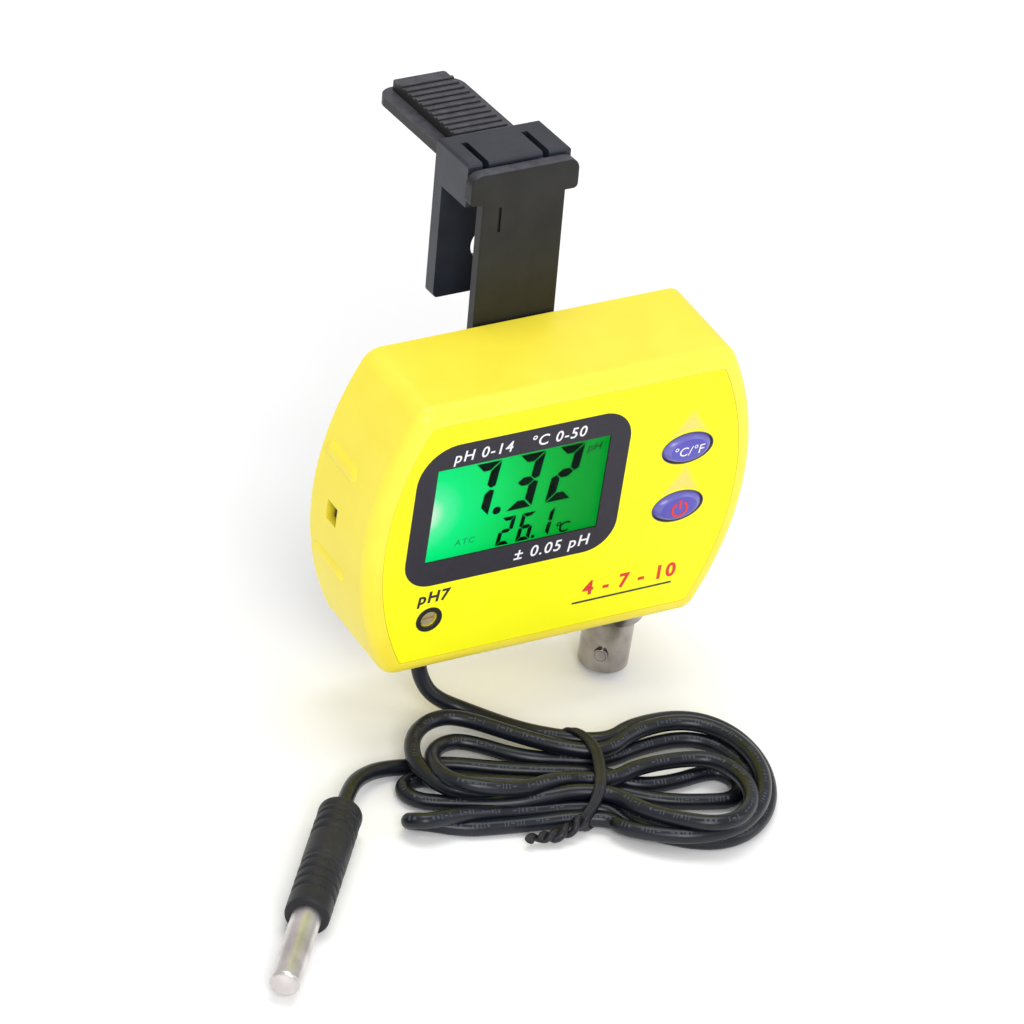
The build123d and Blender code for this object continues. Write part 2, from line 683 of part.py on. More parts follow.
def clip_jaw():
    """The sliding jaw: a sleeve on the plate and a leg that presses behind the tank wall."""
    half = JAW_W / 2
    jaw = block(CLIP_X - half, CLIP_X + half, JAW_FRONT, JAW_BACK, JAW_LOW, JAW_TOP)
    jaw = fillet(jaw.edges().group_by(Axis.Z)[-1], 2 * SOFT_EDGE)
    leg = block(CLIP_X - half, CLIP_X + half, LEG_FRONT, JAW_BACK, LEG_LOW, JAW_LOW + 1)
    leg = fillet(leg.edges().filter_by(Axis.Y).sort_by(Axis.Z)[:2], 1.0)
    jaw = jaw + leg
    room = 0.25
    strip_half = STRIP_W / 2 + room
    rack_half = RACK_W / 2 + room
    passage = block(CLIP_X - strip_half, CLIP_X + strip_half, 1, 20, PLATE_LOW - 0.2, PLATE_TOP + 0.2)
    ceiling = RACK_TOP + RIB_RISE + room
    passage = passage + block(CLIP_X - rack_half, CLIP_X + rack_half, 1, 20, PLATE_TOP, ceiling)
    jaw = jaw - passage
    for x in (CLIP_X - 7.0, CLIP_X + 5.4):
        jaw = jaw - block(x - 0.65, x + 0.65, 1, 11, PLATE_TOP + 0.5, JAW_TOP + 1)
    key = rod_y(CLIP_X, KEY_U, KEY_R, LEG_FRONT - 1, JAW_BACK + 1)
    key = key + rod_y(CLIP_X, KEY_TOP, KEY_SLOT_R, LEG_FRONT - 1, JAW_BACK + 1)
    slot = block(CLIP_X - KEY_SLOT_R, CLIP_X + KEY_SLOT_R, LEG_FRONT - 1, JAW_BACK + 1, KEY_U, KEY_TOP)
    return lean(jaw - key - slot)


# ---------------------------------------------------------------- write the parts
parts = {
    "front_case": front_case(),
    "front_label": front_label(),
    "display_lens": display_lens(),
    "rear_cover": rear_cover(),
    "battery_door": battery_door(),
    "lcd_frame": lcd_frame(),
    "lcd_glass": lcd_glass(),
    "backlight_guide": backlight_guide(),
    "backlight_led": backlight_led(),
    "contact_strips": Compound(children=contact_strips()),
    "main_board": main_board(),
    "board_screws": Compound(children=board_screws()),
    "display_driver": chip_blob(),
    "op_amp": chip(0, 8.5, 6.2, 5.0, 1.6),
    "regulator": chip(-2.5, 20, 3.0, 3.0, 1.4),
    "clock_crystal": chip(9.0, 18, 3.4, 8.0, 2.4),
    "capacitors": Compound(children=capacitors()),
    "temp_unit_switch": tact_switch(TEMP_Z),
    "power_switch": tact_switch(POWER_Z),
    "temp_unit_button": button(TEMP_Z),
    "power_button": button(POWER_Z),
    "trimmer_body": trimmer_body(),
    "trimmer_screw": trimmer_screw(),
    "trimmer_ring": trimmer_ring(),
    "cell_springs": Compound(children=cell_springs()),
    "bnc_shell": bnc_shell(),
    "bnc_insulator": bnc_insulator(),
    "bnc_contact": bnc_contact(),
    "bnc_washer": bnc_washer(),
    "bnc_nut": bnc_nut(),
    "jack_wires": Compound(children=lead_wires()),
    "cable_grommet": cable_grommet(),
    "inner_lead": inner_lead(),
    "lead_in": lead_tube("lead_in", LEAD_IN),
    "lead_out": lead_tube("lead_out", LEAD_OUT),
    "cord_hank": cord_hank(),
    "cord_tie": cord_tie(),
    "probe_grip": probe_grip(),
    "probe_tube": probe_tube(),
    "clip_arm": clip_arm(),
    "clip_jaw": clip_jaw(),
}
for end, cell in zip(("lower", "upper"), battery_cells()):
    parts[f"battery_cell_{end}"] = cell
parts.update(battery_contacts())

for name, shape in parts.items():
    save(name, shape)
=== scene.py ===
"""The looks of a clip-on pH and temperature monitor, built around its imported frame."""
import math
import random

import bmesh
import bpy
from mathutils import Matrix, Vector
from mathutils.geometry import convex_hull_2d


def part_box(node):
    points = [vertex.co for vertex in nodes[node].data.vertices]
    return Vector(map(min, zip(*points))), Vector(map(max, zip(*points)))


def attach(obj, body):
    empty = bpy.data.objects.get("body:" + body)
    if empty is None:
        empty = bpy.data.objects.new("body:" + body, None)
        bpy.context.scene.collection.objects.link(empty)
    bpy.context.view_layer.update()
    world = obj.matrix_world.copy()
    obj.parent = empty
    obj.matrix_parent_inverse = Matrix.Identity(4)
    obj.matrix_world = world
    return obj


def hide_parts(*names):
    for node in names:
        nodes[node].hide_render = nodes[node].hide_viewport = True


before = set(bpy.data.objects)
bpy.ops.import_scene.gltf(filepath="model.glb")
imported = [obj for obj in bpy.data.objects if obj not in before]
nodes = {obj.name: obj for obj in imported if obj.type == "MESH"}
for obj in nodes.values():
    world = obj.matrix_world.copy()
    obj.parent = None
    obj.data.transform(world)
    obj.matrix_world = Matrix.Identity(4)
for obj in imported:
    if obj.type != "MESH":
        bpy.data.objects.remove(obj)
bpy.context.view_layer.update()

MM = 0.001
rng = random.Random(7)

# ---------------------------------------------------------------- the case's own frame
# Most sizes below are millimetres from the middle of the case's front face:
# x to the right of the reader, y back from the face, z up.
case_low, case_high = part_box("front_case")
FACE_MID = Vector(((case_low[0] + case_high[0]) / 2, case_low[1], (case_low[2] + case_high[2]) / 2))
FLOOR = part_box("probe_grip")[0][2]


def at(x, y, z):
    """A point in the case's frame, in millimetres, as a point in the row frame."""
    return FACE_MID + Vector((x, y, z)) * MM


# ---------------------------------------------------------------- camera
CAMERA_AZIMUTH = math.radians(-34.08)
CAMERA_HEIGHT = math.radians(35.25)
CAMERA_ROLL = math.radians(9.06)
CAMERA_DISTANCE = 1185.7 * MM
CAMERA_LENS = 231.3
AIM_LEFT = 1.16 * MM
AIM_DOWN = 2.26 * MM


def camera_axes():
    """The camera's right, up and back directions."""
    a, e = CAMERA_AZIMUTH, CAMERA_HEIGHT
    back = Vector((math.sin(a) * math.cos(e), -math.cos(a) * math.cos(e), math.sin(e)))
    level = Vector((math.cos(a), math.sin(a), 0))
    upright = back.cross(level)
    right = level * math.cos(CAMERA_ROLL) + upright * math.sin(CAMERA_ROLL)
    up = upright * math.cos(CAMERA_ROLL) - level * math.sin(CAMERA_ROLL)
    return right, up, back


def make_camera():
    right, up, back = camera_axes()
    window = at(-10.1, 0, 6.2)
    data = bpy.data.cameras.new("camera")
    data.lens = CAMERA_LENS
    data.sensor_width = 36.0
    data.clip_start = 0.05
    data.clip_end = 20
    camera = bpy.data.objects.new("camera", data)
    turn = Matrix((right, up, back)).transposed().to_4x4()
    place = window - right * AIM_LEFT - up * AIM_DOWN + back * CAMERA_DISTANCE
    camera.matrix_world = Matrix.Translation(place) @ turn
    bpy.context.scene.collection.objects.link(camera)
    bpy.context.scene.camera = camera


make_camera()

# ---------------------------------------------------------------- the lead's route
LEAD_DIAMETER = 3.0 * MM
# From the case to the hank, and from the hank to the probe, in the case's frame.
LEAD_IN = (
    (-20.5, 9.3, -29.5),
    (-20.5, 9.3, -33.4),
    (-20.1, 7.9, -37.6),
    (-18.2, 5.6, -40.9),
    (-12.6, 2.6, -43.2),
)
LEAD_OUT = (
    (-31.0, -7.2, -44.4),
    (-36.2, -7.0, -43.8),
    (-41.4, -9.2, -42.7),
    (-45.4, -12.8, -41.9),
    (-49.6, -18.0, -41.9),
)

# The hank's own frame: x along it, y across it, h above the floor, zero under the tie.
HANK_X = -1.5
HANK_Y = -25.5
HANK_TURN = math.radians(-24.4)
# Where the ten strands pass through the tie, as (y, h), from the back to the front.
STRANDS = (
    (11.0, 4.8),
    (8.6, 2.2),
    (8.0, 5.0),
    (4.9, 2.2),
    (1.0, 2.2),
    (-0.4, 4.9),
    (-2.3, 2.2),
    (-3.9, 4.8),
    (-5.4, 2.2),
    (-8.4, 2.2),
)
TIE_REACH = 3.4
BEND_STEPS = 6
# Each fold of the hank: the strand it leaves by and the one it comes back by, loose points
# on the way out, then its bend (middle x, reach, outgoing y and h, h at the tip, returning
# y and h), then loose points on the way back.
FOLDS = (
    (0, 8, ((9.0, 17.2, 4.6),), (19.5, 14.6, 21.2, 4.2, 2.2, -13.6, 1.6), ((6.0, -9.6, 1.6),)),
    (
        8,
        9,
        ((-12.0, -7.0, 1.8), (-19.0, -8.6, 2.2), (-24.5, -11.2, 3.9)),
        (-31.0, 3.6, -14.6, 4.5, 3.0, -11.4, 1.5),
        ((-24.0, -12.6, 1.5), (-17.0, -11.2, 1.5), (-10.0, -9.6, 1.6)),
    ),
    (
        9,
        2,
        ((4.5, -11.6, 3.0), (11.0, -14.2, 3.9)),
        (18.5, 13.9, -14.9, 4.5, 5.4, 18.4, 5.4),
        ((9.0, 14.6, 5.3),),
    ),
    (
        2,
        6,
        ((-12.5, 11.1, 5.0),),
        (-24.0, 9.4, 16.4, 5.0, 5.2, -5.9, 4.6),
        ((-16.0, -3.4, 3.6), (-8.0, -2.5, 2.4)),
    ),
    (
        6,
        1,
        ((5.0, -5.6, 1.9), (11.5, -8.6, 1.7)),
        (19.5, 11.2, -10.4, 1.8, 2.4, 16.8, 2.6),
        ((10.5, 13.4, 2.5),),
    ),
    (
        1,
        5,
        ((-12.0, 8.2, 2.3),),
        (-22.5, 7.2, 12.4, 2.4, 4.9, -7.3, 7.3),
        ((-14.0, -6.4, 6.3), (-8.0, -2.6, 5.9)),
    ),
    (
        5,
        7,
        ((9.0, 4.4, 5.0),),
        (20.5, 8.6, 8.0, 5.0, 6.2, -14.6, 7.3),
        ((13.5, -12.4, 6.4), (8.0, -9.2, 5.6)),
    ),
    (
        7,
        4,
        ((-8.0, -5.0, 4.3), (-16.0, -6.7, 3.0)),
        (-29.5, 5.4, -5.6, 1.7, 1.6, 1.6, 1.5),
        ((-15.0, 1.4, 1.6),),
    ),
    (
        4,
        3,
        ((6.5, 0.0, 1.6), (14.0, -1.4, 1.5)),
        (23.0, 5.2, -0.6, 1.5, 1.5, 8.2, 1.7),
        ((15.0, 3.9, 1.6), (8.0, 2.6, 1.7)),
    ),
)


def on_floor(x, y, h):
    """A point in the hank's frame, in millimetres, as a point in the row frame."""
    turned = Matrix.Rotation(HANK_TURN, 3, "Z") @ Vector((x, y, 0))
    point = at(HANK_X + turned.x, HANK_Y + turned.y, 0)
    point.z = FLOOR + h * MM
    return point


def fold_points(leave, back, way_out, bend, way_back):
    """One fold: out from the tie, round a half oval, and back to the tie."""
    middle, reach, y_out, h_out, h_tip, y_back, h_back = bend
    side = math.copysign(1, middle)
    points = [(side * TIE_REACH, *STRANDS[leave]), *way_out]
    for k in range(BEND_STEPS):
        angle = math.pi / 2 - math.pi * k / (BEND_STEPS - 1)
        share = (1 - math.sin(angle)) / 2
        rise = h_out + (h_back - h_out) * share
        rise += (h_tip - (h_out + h_back) / 2) * math.cos(angle) ** 2
        along = middle + side * reach * math.cos(angle)
        points.append((along, y_out + (y_back - y_out) * share, rise))
    points += [*way_back, (side * TIE_REACH, *STRANDS[back])]
    return [on_floor(*p) for p in points]


def lead_route():
    """The whole lead's control points, from the case to the probe."""
    route = [at(*p) for p in LEAD_IN]
    route += [on_floor(-13.5, 15.6, 3.6), on_floor(-7.0, 12.6, 4.4)]
    for fold in FOLDS:
        route += fold_points(*fold)
    route.append(on_floor(-TIE_REACH, *STRANDS[3]))
    route += [on_floor(-9.0, 5.0, 1.9), on_floor(-17.0, 5.4, 1.6), on_floor(-26.0, 6.2, 1.6)]
    return route + [at(*p) for p in LEAD_OUT]


def nurbs(name, points, radius, swell=None):
    """A smooth open tube with these control points, thicker or thinner where swell says."""
    data = bpy.data.curves.new(name, "CURVE")
    data.dimensions = "3D"
    data.resolution_u = 10
    spline = data.splines.new("NURBS")
    spline.points.add(len(points) - 1)
    for slot, point in zip(spline.points, points):
        slot.co = (*point, 1)
    if swell:
        for slot, factor in zip(spline.points, swell):
            slot.radius = factor
    spline.order_u = 3
    spline.use_endpoint_u = True
    data.bevel_depth = radius
    data.bevel_resolution = 6
    data.use_fill_caps = True
    tube = bpy.data.objects.new(name, data)
    bpy.context.scene.collection.objects.link(tube)
    return tube


def evaluated_mesh(thing):
    """The mesh that a curve or a text makes."""
    bpy.context.view_layer.update()
    graph = bpy.context.evaluated_depsgraph_get()
    return bpy.data.meshes.new_from_object(thing.evaluated_get(graph))


def centreline(tube):
    """The points of a tube's own line."""
    bare = tube.copy()
    bare.data = tube.data.copy()
    bare.data.bevel_depth = 0
    bpy.context.scene.collection.objects.link(bare)
    points = [v.co.copy() for v in evaluated_mesh(bare).vertices]
    bpy.data.objects.remove(bare)
    return points


lead = nurbs("probe_lead", lead_route(), LEAD_DIAMETER / 2)
lead_line = centreline(lead)
lead_length = sum((b - a).length for a, b in zip(lead_line, lead_line[1:]))
print("lead length", round(lead_length, 4))


# ---------------------------------------------------------------- materials
def new_material(name):
    material = bpy.data.materials.new(name)
    material.use_nodes = True
    tree = material.node_tree
    return material, tree, tree.nodes["Principled BSDF"]


def noise(tree, scale, detail=3.0, roughness=0.5):
    """A noise texture fixed to the object's own millimetres."""
    coordinates = tree.nodes.new("ShaderNodeTexCoord")
    texture = tree.nodes.new("ShaderNodeTexNoise")
    texture.inputs["Scale"].default_value = scale
    texture.inputs["Detail"].default_value = detail
    texture.inputs["Roughness"].default_value = roughness
    tree.links.new(coordinates.outputs["Object"], texture.inputs["Vector"])
    return texture.outputs["Fac"]


def ramp(tree, value, low, high, start=0.3, stop=0.7):
    """A colour ramp between two colours."""
    node = tree.nodes.new("ShaderNodeValToRGB")
    node.color_ramp.elements[0].position = start
    node.color_ramp.elements[1].position = stop
    node.color_ramp.elements[0].color = (*low, 1)
    node.color_ramp.elements[1].color = (*high, 1)
    tree.links.new(value, node.inputs["Fac"])
    return node.outputs["Color"]


def spread(tree, value, low, high):
    """A value between 0 and 1 mapped to a range."""
    node = tree.nodes.new("ShaderNodeMapRange")
    node.inputs["To Min"].default_value = low
    node.inputs["To Max"].default_value = high
    tree.links.new(value, node.inputs["Value"])
    return node.outputs["Result"]


def bump(tree, shader, value, strength, depth):
    node = tree.nodes.new("ShaderNodeBump")
    node.inputs["Strength"].default_value = strength
    node.inputs["Distance"].default_value = depth
    tree.links.new(value, node.inputs["Height"])
    tree.links.new(node.outputs["Normal"], shader.inputs["Normal"])


def moulded(
    name,
    dark,
    light,
    rough=(0.35, 0.5),
    grain=2600,
    depth=0.02 * MM,
    strength=0.25,
    patch=120,
    metallic=0.0,
):
    """Moulded plastic or rubber: faint patches of shade, a fine grain and uneven gloss."""
    material, tree, shader = new_material(name)
    tree.links.new(ramp(tree, noise(tree, patch), dark, light), shader.inputs["Base Color"])
    tree.links.new(spread(tree, noise(tree, patch * 5, 4.0), *rough), shader.inputs["Roughness"])
    bump(tree, shader, noise(tree, grain, 2.0), strength, depth)
    shader.inputs["Metallic"].default_value = metallic
    return material


def printed(name, colour, rough=0.45):
    """Screen-printed ink: nearly even, with slight thinning."""
    material, tree, shader = new_material(name)
    thin = [min(1.0, c * 1.06 + 0.002) for c in colour]
    shader.inputs["Specular IOR Level"].default_value = 0.25
    tree.links.new(ramp(tree, noise(tree, 900), colour, thin), shader.inputs["Base Color"])
    gloss = spread(tree, noise(tree, 300), rough - 0.08, rough + 0.08)
    tree.links.new(gloss, shader.inputs["Roughness"])
    return material


def metal(name, dark, light, rough=(0.12, 0.3), scratch=3000):
    """Plated or polished metal with fine scratches."""
    return moulded(name, dark, light, rough, scratch, 0.004 * MM, 0.15, 260, 1.0)


def glow(name, near, colours):
    """A display lit from one point, fading with distance in millimetres."""
    material, tree, shader = new_material(name)
    coordinates = tree.nodes.new("ShaderNodeTexCoord")
    distance = tree.nodes.new("ShaderNodeVectorMath")
    distance.operation = "DISTANCE"
    distance.inputs[1].default_value = near
    tree.links.new(coordinates.outputs["Object"], distance.inputs[0])
    scaled = tree.nodes.new("ShaderNodeMapRange")
    scaled.inputs["From Max"].default_value = colours[-1][0] * MM
    tree.links.new(distance.outputs["Value"], scaled.inputs["Value"])
    fade = tree.nodes.new("ShaderNodeValToRGB")
    stops = fade.color_ramp.elements
    while len(stops) < len(colours):
        stops.new(0.5)
    for stop, (reach, colour) in zip(stops, colours):
        stop.position = reach / colours[-1][0]
        stop.color = (*colour, 1)
    tree.links.new(scaled.outputs["Result"], fade.inputs["Fac"])
    tree.links.new(fade.outputs["Color"], shader.inputs["Emission Color"])
    shader.inputs["Emission Strength"].default_value = 0.92
    shader.inputs["Base Color"].default_value = (0.002, 0.01, 0.004, 1)
    shader.inputs["Roughness"].default_value = 0.7
    shader.inputs["Specular IOR Level"].default_value = 0.1
    return material


def specular(material, level):
    """How much light the surface mirrors, 0.5 for common plastic."""
    shader = material.node_tree.nodes["Principled BSDF"]
    shader.inputs["Specular IOR Level"].default_value = level


def paint_top_light(material, colour, most):
    """Painted highlight: a lighter, blotchy colour on the faces that look up, for light from above.
    """
    tree = material.node_tree
    shader = tree.nodes["Principled BSDF"]
    plain = shader.inputs["Base Color"].links[0].from_socket
    coordinates = tree.nodes.new("ShaderNodeTexCoord")
    split = tree.nodes.new("ShaderNodeSeparateXYZ")
    tree.links.new(coordinates.outputs["Normal"], split.inputs["Vector"])
    upward = spread(tree, split.outputs["Z"], 0.0, most)
    upward.node.inputs["From Min"].default_value = 0.55
    # The painted light colour, blotched by noise.
    lit_top = ramp(tree, noise(tree, 420, 5.0, 0.7), [c * 0.4 for c in colour], colour)
    mix = tree.nodes.new("ShaderNodeMix")
    mix.data_type = "RGBA"
    sockets = {socket.identifier: socket for socket in (*mix.inputs, *mix.outputs)}
    tree.links.new(upward, sockets["Factor_Float"])
    tree.links.new(plain, sockets["A_Color"])
    tree.links.new(lit_top, sockets["B_Color"])
    tree.links.new(sockets["Result_Color"], shader.inputs["Base Color"])


def clear(name):
    material, tree, shader = new_material(name)
    shader.inputs["Transmission Weight"].default_value = 1.0
    shader.inputs["IOR"].default_value = 1.06
    shader.inputs["Base Color"].default_value = (1, 1, 1, 1)
    tree.links.new(spread(tree, noise(tree, 400), 0.0, 0.004), shader.inputs["Roughness"])
    return material


yellow = moulded(
    "yellow_abs", (0.90, 0.75, 0.042), (0.93, 0.79, 0.055), (0.34, 0.48), 3200, 0.02 * MM, 0.18
)
label = moulded(
    "label_film", (0.955, 0.935, 0.004), (0.975, 0.955, 0.008), (0.42, 0.55), 2400, 0.01 * MM, 0.12
)
specular(label, 0.3)
cover_black = moulded(
    "black_abs", (0.014, 0.014, 0.016), (0.022, 0.022, 0.024), (0.45, 0.6), 2600, 0.03 * MM, 0.4
)
clip_black = moulded(
    "clip_black", (0.009, 0.009, 0.009), (0.018, 0.018, 0.018), (0.34, 0.5), 2200, 0.03 * MM, 0.4
)
jaw_black = moulded(
    "jaw_black", (0.011, 0.014, 0.023), (0.020, 0.024, 0.037), (0.36, 0.5), 2200, 0.03 * MM, 0.35
)
violet = moulded(
    "violet_rubber", (0.075, 0.062, 0.40), (0.105, 0.09, 0.50), (0.2, 0.3), 1800, 0.01 * MM, 0.15
)
# A lighter copy of the violet rubber for the caps' bevelled rims: a painted highlight.
violet_rim_highlight = moulded(
    "violet_rim_highlight", (0.13, 0.12, 0.46), (0.17, 0.155, 0.56), (0.2, 0.3), 1800, 0.01 * MM, 0.15
)
lead_black = moulded(
    "lead_black", (0.004, 0.005, 0.009), (0.008, 0.010, 0.018), (0.26, 0.38), 1500, 0.03 * MM, 0.3
)
grip_black = moulded(
    "grip_black", (0.012, 0.012, 0.015), (0.022, 0.022, 0.026), (0.42, 0.56), 2800, 0.04 * MM, 0.5
)
tie_black = moulded(
    "tie_black", (0.011, 0.011, 0.014), (0.020, 0.020, 0.026), (0.3, 0.45), 1800, 0.02 * MM, 0.3
)
nickel = metal("nickel", (0.24, 0.22, 0.22), (0.42, 0.39, 0.39), (0.16, 0.3))
steel = metal("stainless", (0.55, 0.51, 0.50), (0.74, 0.70, 0.69), (0.3, 0.42))
brass = metal("brass", (0.82, 0.68, 0.38), (0.96, 0.86, 0.58), (0.3, 0.45))
# A darker copy of the nickel for the bayonet studs: painted shade.
nickel_painted_shade = metal("nickel_painted_shade", (0.10, 0.09, 0.09), (0.20, 0.18, 0.18), (0.12, 0.22))
ptfe = moulded("ptfe", (0.75, 0.75, 0.72), (0.85, 0.85, 0.82), (0.3, 0.45))
# The black of the ring round the trimmer screw.
trimmer_ring_dark = moulded("trimmer_ring_black", (0.008, 0.008, 0.008), (0.015, 0.015, 0.015), (0.3, 0.4))
board_green = moulded(
    "solder_mask", (0.01, 0.10, 0.03), (0.02, 0.16, 0.05), (0.25, 0.4), 900, 0.05 * MM, 0.4
)
white_plastic = moulded("white_plastic", (0.70, 0.70, 0.66), (0.80, 0.80, 0.76))
epoxy = moulded("epoxy_black", (0.006, 0.006, 0.006), (0.012, 0.012, 0.012), (0.3, 0.5))
jacket = moulded("cell_jacket", (0.02, 0.02, 0.03), (0.04, 0.04, 0.05), (0.2, 0.3))
red_wire = moulded("red_wire", (0.45, 0.02, 0.02), (0.55, 0.03, 0.03))
trimmer_blue = moulded("trimmer_blue", (0.02, 0.07, 0.35), (0.03, 0.10, 0.45))
lens_clear = clear("clear_acrylic")
bezel_ink = printed("bezel_ink", (0.024, 0.021, 0.031))
white_ink = printed("white_ink", (0.80, 0.80, 0.83))
red_ink = printed("red_ink", (0.70, 0.045, 0.035))
black_ink = printed("black_ink", (0.03, 0.025, 0.03))
pale_ink = printed("pale_ink", (0.93, 0.72, 0.07))
paler_ink = printed("paler_ink", (0.91, 0.66, 0.15))
# A brownish dark for the gaps round the buttons: painted shade.
gap_shade_ink = printed("gap_shade_ink", (0.16, 0.13, 0.10))
grey_ink = printed("grey_ink", (0.055, 0.06, 0.08))
segment_ink = printed("segment_ink", (0.0005, 0.008, 0.004))
specular(segment_ink, 0.02)
faint_segment = printed("faint_segment", (0.005, 0.22, 0.09))
dim_segment = printed("dim_segment", (0.0, 0.012, 0.004))

# Painted highlight on the clip's upward faces, for the light from above.
paint_top_light(clip_black, (0.098, 0.098, 0.118), 0.85)
for dull in (grip_black, clip_black, tie_black):
    specular(dull, 0.28)
specular(lead_black, 0.38)

FINISHES = {
    "front_case": yellow,
    "front_label": label,
    "display_lens": lens_clear,
    "rear_cover": cover_black,
    "battery_door": cover_black,
    "lcd_frame": white_plastic,
    "lcd_glass": white_plastic,
    "backlight_guide": white_plastic,
    "backlight_led": white_plastic,
    "contact_strips": grip_black,
    "main_board": board_green,
    "board_screws": steel,
    "display_driver": epoxy,
    "op_amp": epoxy,
    "regulator": epoxy,
    "clock_crystal": steel,
    "capacitors": jacket,
    "temp_unit_switch": epoxy,
    "power_switch": epoxy,
    "temp_unit_button": violet,
    "power_button": violet,
    "trimmer_body": trimmer_blue,
    "trimmer_screw": brass,
    "trimmer_ring": trimmer_ring_dark,
    "cell_springs": nickel,
    "battery_link": nickel,
    "battery_contact_plus": nickel,
    "battery_contact_minus": nickel,
    "battery_cell_lower": jacket,
    "battery_cell_upper": jacket,
    "bnc_shell": nickel,
    "bnc_insulator": ptfe,
    "bnc_contact": brass,
    "bnc_washer": nickel,
    "bnc_nut": nickel,
    "jack_wires": red_wire,
    "cable_grommet": lead_black,
    "inner_lead": lead_black,
    "probe_grip": grip_black,
    "probe_tube": steel,
    "clip_arm": clip_black,
    "clip_jaw": jaw_black,
}


def paint(piece, material):
    piece.data.materials.clear()
    piece.data.materials.append(material)


def paint_frame():
    for name, material in FINISHES.items():
        paint(nodes[name], material)


paint_frame()
paint(lead, lead_black)


# ---------------------------------------------------------------- small builders
INK = 0.03
# The height of the font's capitals as a share of its size.
CAPITAL_SHARE = 0.73


def add_mesh(name, mesh, material, body, smooth=False):
    piece = bpy.data.objects.new(name, mesh)
    bpy.context.scene.collection.objects.link(piece)
    paint(piece, material)
    for face in mesh.polygons:
        face.use_smooth = smooth
    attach(piece, body)
    return piece


def flat_mesh(curve):
    """A filled flat curve as a mesh that faces the reader."""
    holder = bpy.data.objects.new("flat", curve)
    bpy.context.scene.collection.objects.link(holder)
    mesh = evaluated_mesh(holder)
    bpy.data.objects.remove(holder)
    return mesh


def stand_up(mesh, y):
    """Turn a mesh drawn in x and y to the front face, its own z towards the reader."""
    for vertex in mesh.vertices:
        x, z, out = vertex.co
        vertex.co = at(x / MM, y, z / MM) - Vector((0, out, 0))


def plate(name, loops, y, thickness, material, body="case"):
    """A thin flat plate with these outlines, holes among them, in x and z millimetres."""
    curve = bpy.data.curves.new(name, "CURVE")
    curve.dimensions = "2D"
    curve.fill_mode = "BOTH"
    curve.extrude = thickness * MM / 2
    for loop in loops:
        spline = curve.splines.new("POLY")
        spline.points.add(len(loop) - 1)
        for point, (x, z) in zip(spline.points, loop):
            point.co = (x * MM, z * MM, 0, 1)
        spline.use_cyclic_u = True
    mesh = flat_mesh(curve)
    stand_up(mesh, y)
    return add_mesh(name, mesh, material, body)


def lettering(
    name,
    text,
    left,
    base,
    height,
    y,
    material,
    weight=0.0,
    slant=0.0,
    spacing=1.0,
    body="case",
    slot="label",
):
    """Printed characters: left edge, baseline and capital height in millimetres."""
    curve = bpy.data.curves.new(name, "FONT")
    curve.body = text
    curve.size = height * MM / CAPITAL_SHARE
    curve.offset = weight * MM
    curve.shear = slant
    curve.space_character = spacing
    curve.extrude = INK * MM / 2
    curve.resolution_u = 4
    mesh = flat_mesh(curve)
    for vertex in mesh.vertices:
        vertex.co += Vector((left * MM, base * MM, 0))
    stand_up(mesh, y)
    return add_mesh(name, mesh, material, body)


def angles(count):
    """Angles evenly round a full turn."""
    return [2 * math.pi * j / count for j in range(count)]


def bridge(build, rings):
    """Join each closed ring of vertices to the next."""
    for a, b in zip(rings, rings[1:]):
        for j in range(len(a)):
            i = (j + 1) % len(a)
            build.faces.new((a[j], a[i], b[i], b[j]))


def built_mesh(build, name):
    """The mesh of what was built, its faces turned outwards."""
    bmesh.ops.recalc_face_normals(build, faces=build.faces)
    mesh = bpy.data.meshes.new(name)
    build.to_mesh(mesh)
    build.free()
    return mesh


def arc(x, z, rx, rz, start, stop, steps):
    """Points on an oval arc, angles in degrees."""
    points = []
    for k in range(steps + 1):
        angle = math.radians(start + (stop - start) * k / steps)
        points.append((x + rx * math.cos(angle), z + rz * math.sin(angle)))
    return points


def rounded(x0, x1, z0, z1, top_left, top_right, low_right, low_left):
    """A rectangle with its own radius at each corner."""
    points = arc(x1 - top_right, z1 - top_right, top_right, top_right, 0, 90, 12)
    points += arc(x0 + top_left, z1 - top_left, top_left, top_left, 90, 180, 12)
    points += arc(x0 + low_left, z0 + low_left, low_left, low_left, 180, 270, 12)
    points += arc(x1 - low_right, z0 + low_right, low_right, low_right, 270, 360, 12)
    return points


# ---------------------------------------------------------------- print on the label
INK_Y = -0.015
TEXT_Y = -0.035
WINDOW = [(-28.1, -4.2), (7.9, -4.2), (7.9, 16.6), (-28.1, 16.6)]
BUTTON_X = 24.9
UPPER_Z = 9.7
LOWER_Z = -3.4


def label_print():
    bezel = rounded(-32.1, 12.0, -9.4, 21.6, 8.0, 6.5, 6.2, 6.0)
    plate("bezel_print", [bezel, WINDOW], INK_Y, INK, bezel_ink)
    style = (TEXT_Y, white_ink, 0.035, 0.12, 1.14)
    lettering("header_print", "pH 0-14   °C 0-50", -25.1, 17.65, 2.35, *style)
    lettering("footer_print", "± 0.05 pH", -9.3, -7.65, 2.5, *style)
    ring = [(-27.95, -4.05), (-27.95, 16.45), (7.75, 16.45), (7.75, -4.05)]
    plate("window_edge", [WINDOW, ring], 0.16, 0.36, bezel_ink)
    lettering("calibration_print", "pH7", -28.3, -13.2, 2.5, TEXT_Y, black_ink, 0.1, 0.1, 1.14)


def scale_print():
    """A generic red row of buffer values over a short black rule."""
    lettering("buffer_print", "4 - 7 - 10", 7.2, -19.6, 3.1, TEXT_Y, red_ink, 0.14, 0.0, 1.2)
    rule = [(5.2, -21.3), (26.4, -21.3), (26.4, -20.9), (5.2, -20.9)]
    plate("buffer_rule", [rule], INK_Y, INK, black_ink)


